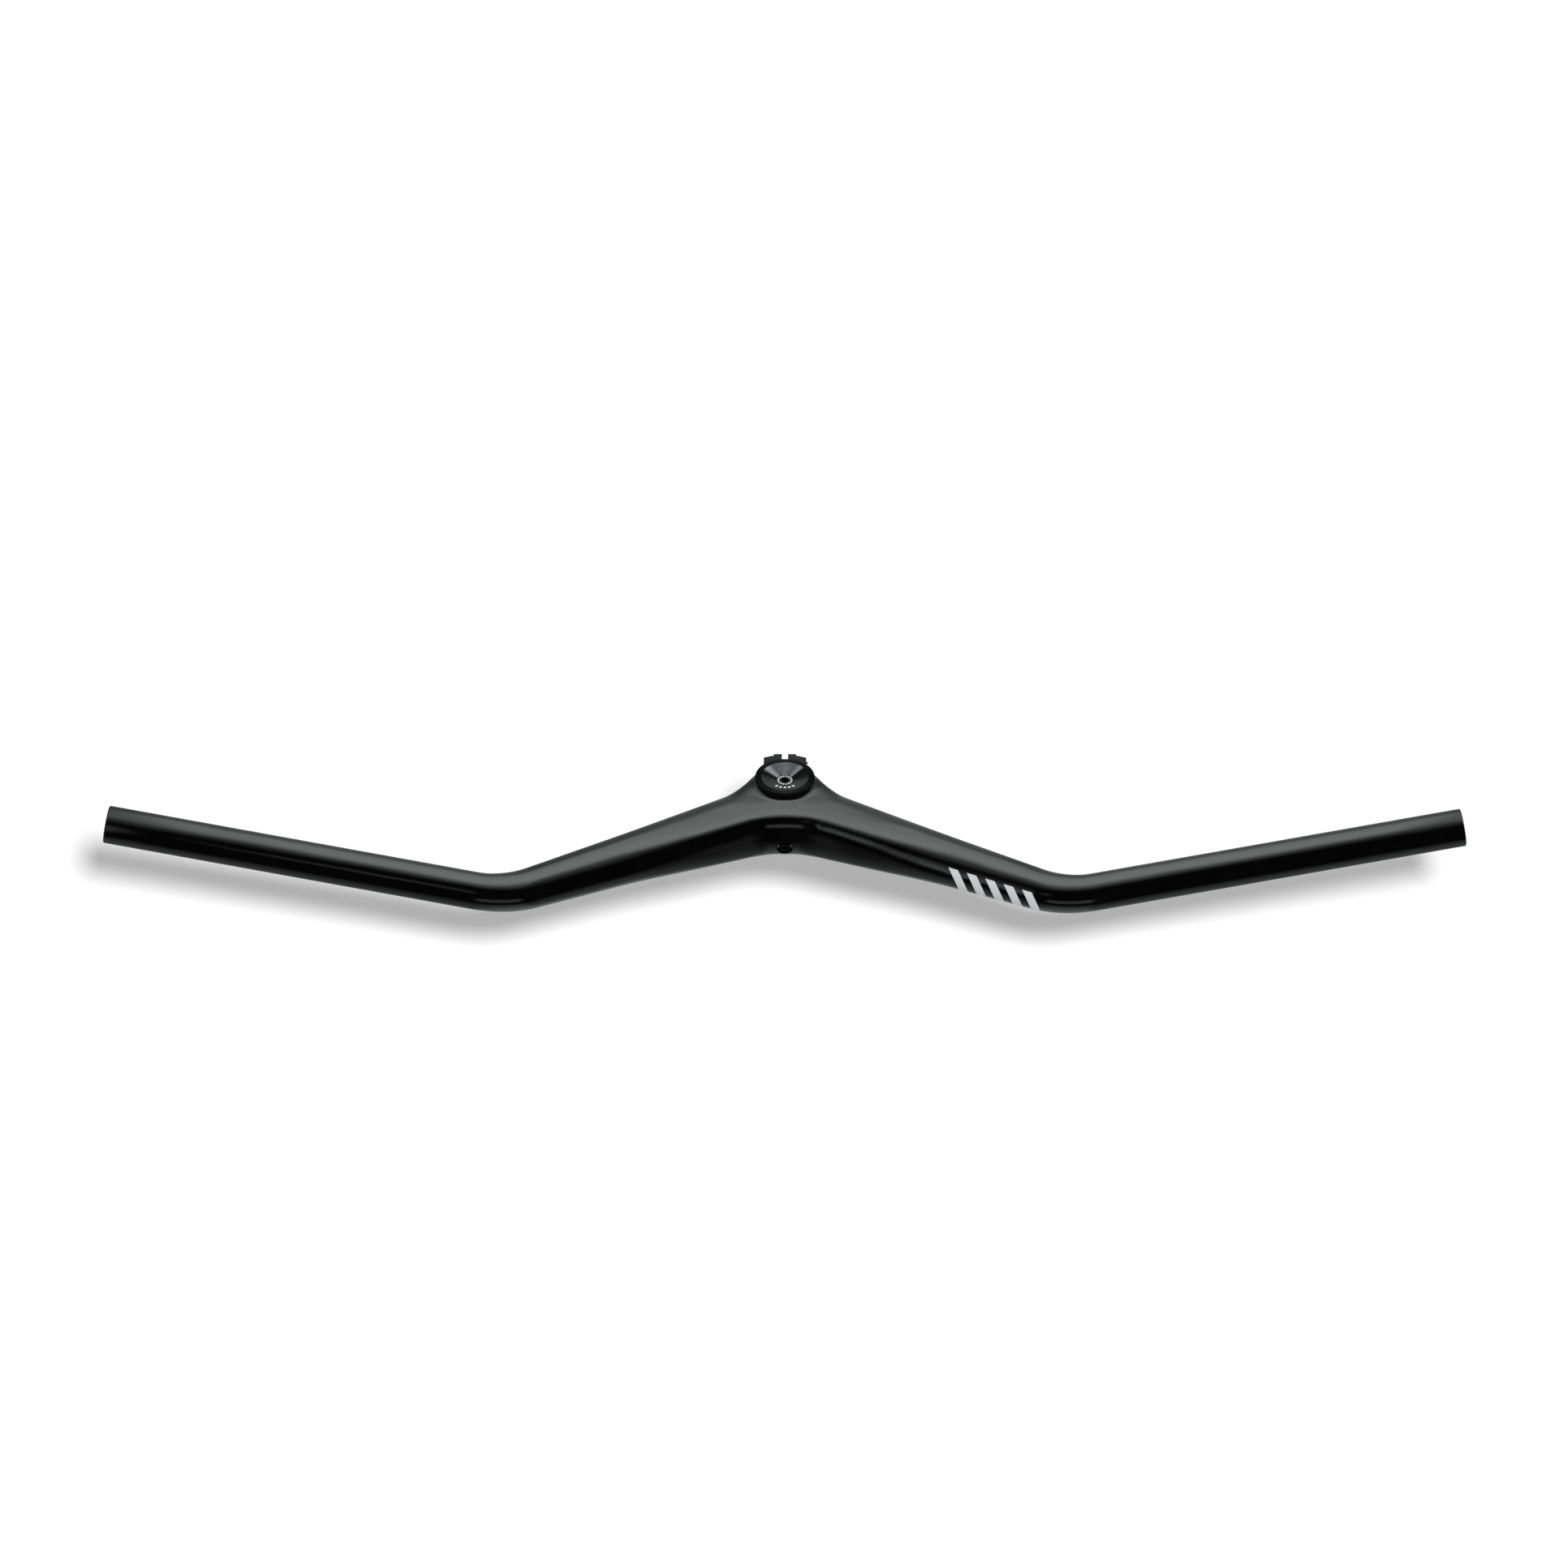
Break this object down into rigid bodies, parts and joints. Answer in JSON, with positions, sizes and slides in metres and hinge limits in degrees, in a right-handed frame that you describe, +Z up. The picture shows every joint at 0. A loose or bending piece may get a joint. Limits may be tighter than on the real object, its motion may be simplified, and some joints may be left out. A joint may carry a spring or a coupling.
{
  "type": "integrated handlebar stem",
  "caption": "Flat mountain bike handlebar and stem moulded as a single hollow shell, with a split steerer clamp, a dished preload cap and a screwed port in the nose.",
  "frame": {"origin": "on the steerer axis, at the foot of the steerer clamp", "axes": "+Z up along the steerer axis, X across the bar from tip to tip, -Y towards the front wheel, so the clamp's slot faces +Y"},
  "size_m": [0.8, 0.1236, 0.0512],
  "materials": {
    "gloss_carbon": "clear coated black carbon fibre shell",
    "anodised_black": "black anodised, turned dish and satin rim",
    "black_polymer": "matt black moulded ring",
    "black_steel": "blackened socket screws",
    "plain_steel": "bright washers and threaded bushes"
  },
  "bodies": {
    "root": {"bar_stem": "gloss_carbon", "top_cap": "anodised_black", "cap_seat_ring": "black_polymer", "top_cap_bolt": "black_steel", "clamp_bolt_upper": "black_steel", "clamp_bolt_lower": "black_steel", "clamp_washer_upper": "plain_steel", "clamp_washer_lower": "plain_steel", "clamp_bush_upper": "plain_steel", "clamp_bush_lower": "plain_steel", "port_bush": "plain_steel", "port_screw": "black_steel"}
  },
  "joints": []
}
